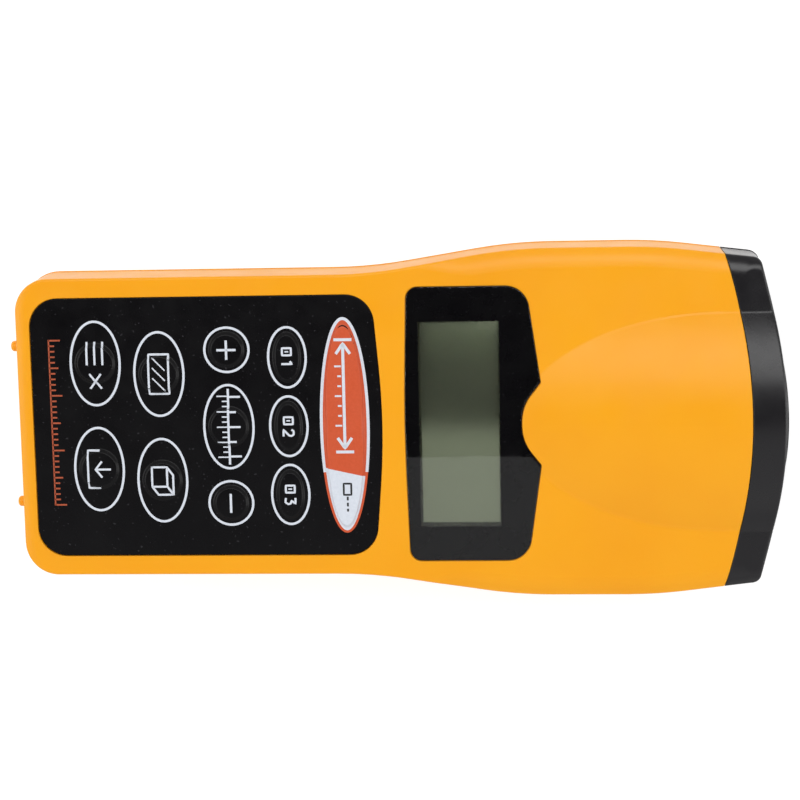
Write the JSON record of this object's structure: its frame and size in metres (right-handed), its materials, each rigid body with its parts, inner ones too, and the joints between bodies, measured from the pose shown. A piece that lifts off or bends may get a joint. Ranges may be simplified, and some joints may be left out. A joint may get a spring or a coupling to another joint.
{
  "type": "laser distance meter",
  "caption": "Handheld distance meter with an ultrasonic horn and laser pointer in its nose, a display window, a film keypad with pressing keys, and a sliding battery door.",
  "frame": {"origin": "centre of the footprint, on the plane that the meter's back lies on", "axes": "+X from the base towards the sensor nose, along the longest extent; +Z out of the keypad face, along the shortest extent; +Y across the meter"},
  "size_m": [0.165, 0.075, 0.0432],
  "materials": {
    "housing": "moulded satin amber-orange ABS with a fine even texture",
    "bezel": "satin-gloss black ABS",
    "horn": "matt black moulded horn",
    "film": "satin black printed polyester film",
    "key": "black moulded keys under the film",
    "window": "clear glossy acrylic window",
    "display": "grey-green reflective liquid crystal glass",
    "frame_plastic": "plain moulded white-grey plastic",
    "zebra": "striped conductive rubber",
    "can": "drawn aluminium",
    "mesh": "perforated metal",
    "rubber": "soft black rubber",
    "tin": "tinned pins",
    "board": "green solder-resist glass-fibre board",
    "chip": "black moulded component",
    "capacitor": "sleeved electrolytic capacitor",
    "ferrite": "dark ferrite",
    "steel": "zinc-plated steel screws",
    "dome": "sprung stainless snap domes",
    "brass": "turned brass",
    "lens": "small clear lens with a red tint",
    "battery": "plain dark printed steel jacket",
    "foam": "soft foam pad",
    "lead_red": "red insulated lead",
    "lead_black": "black insulated lead"
  },
  "bodies": {
    "root": {"front_housing": "housing", "rear_housing": "housing", "front_bezel": "bezel", "keypad_overlay": "film", "display_window": "window", "window_mask": "film", "display_glass": "display", "display_frame": "frame_plastic", "display_contacts": "zebra", "sensor_horn": "horn", "transducer_can": "can", "transducer_mesh": "mesh", "transducer_ring": "rubber", "transducer_pins": "tin", "sensor_board": "board", "laser_barrel": "brass", "laser_lens": "lens", "laser_clamp": "frame_plastic", "laser_leads": "lead_red", "main_board": "board", "board_chips": "chip", "board_capacitors": "capacitor", "clock_crystal": "can", "drive_transformer": "ferrite", "sounder": "chip", "board_screws": "steel", "housing_screws": "steel", "dome_switches": "dome", "battery_case": "battery", "battery_terminals": "can", "battery_snap": "rubber", "battery_lead_red": "lead_red", "battery_lead_black": "lead_black"},
    "key_measure": {"key_measure": "key"},
    "key_memory_1": {"key_memory_1": "key"},
    "key_memory_2": {"key_memory_2": "key"},
    "key_memory_3": {"key_memory_3": "key"},
    "key_plus": {"key_plus": "key"},
    "key_units": {"key_units": "key"},
    "key_minus": {"key_minus": "key"},
    "key_area": {"key_area": "key"},
    "key_volume": {"key_volume": "key"},
    "key_clear": {"key_clear": "key"},
    "key_store": {"key_store": "key"},
    "battery_door": {"battery_door": "housing", "battery_pad": "foam"}
  },
  "joints": [
    {"name": "key_measure_press", "type": "slide", "parent": "root", "child": "key_measure", "axis": [0, 0, -1], "range_m": [0, 0.0005], "stiffness_N_per_m": 2000},
    {"name": "key_memory_1_press", "type": "slide", "parent": "root", "child": "key_memory_1", "axis": [0, 0, -1], "range_m": [0, 0.0005], "stiffness_N_per_m": 2000},
    {"name": "key_memory_2_press", "type": "slide", "parent": "root", "child": "key_memory_2", "axis": [0, 0, -1], "range_m": [0, 0.0005], "stiffness_N_per_m": 2000},
    {"name": "key_memory_3_press", "type": "slide", "parent": "root", "child": "key_memory_3", "axis": [0, 0, -1], "range_m": [0, 0.0005], "stiffness_N_per_m": 2000},
    {"name": "key_plus_press", "type": "slide", "parent": "root", "child": "key_plus", "axis": [0, 0, -1], "range_m": [0, 0.0005], "stiffness_N_per_m": 2000},
    {"name": "key_units_press", "type": "slide", "parent": "root", "child": "key_units", "axis": [0, 0, -1], "range_m": [0, 0.0005], "stiffness_N_per_m": 2000},
    {"name": "key_minus_press", "type": "slide", "parent": "root", "child": "key_minus", "axis": [0, 0, -1], "range_m": [0, 0.0005], "stiffness_N_per_m": 2000},
    {"name": "key_area_press", "type": "slide", "parent": "root", "child": "key_area", "axis": [0, 0, -1], "range_m": [0, 0.0005], "stiffness_N_per_m": 2000},
    {"name": "key_volume_press", "type": "slide", "parent": "root", "child": "key_volume", "axis": [0, 0, -1], "range_m": [0, 0.0005], "stiffness_N_per_m": 2000},
    {"name": "key_clear_press", "type": "slide", "parent": "root", "child": "key_clear", "axis": [0, 0, -1], "range_m": [0, 0.0005], "stiffness_N_per_m": 2000},
    {"name": "key_store_press", "type": "slide", "parent": "root", "child": "key_store", "axis": [0, 0, -1], "range_m": [0, 0.0005], "stiffness_N_per_m": 2000},
    {"name": "battery_door_slide", "type": "slide", "parent": "root", "child": "battery_door", "axis": [-1, 0, 0], "range_m": [0, 0.064]}
  ]
}
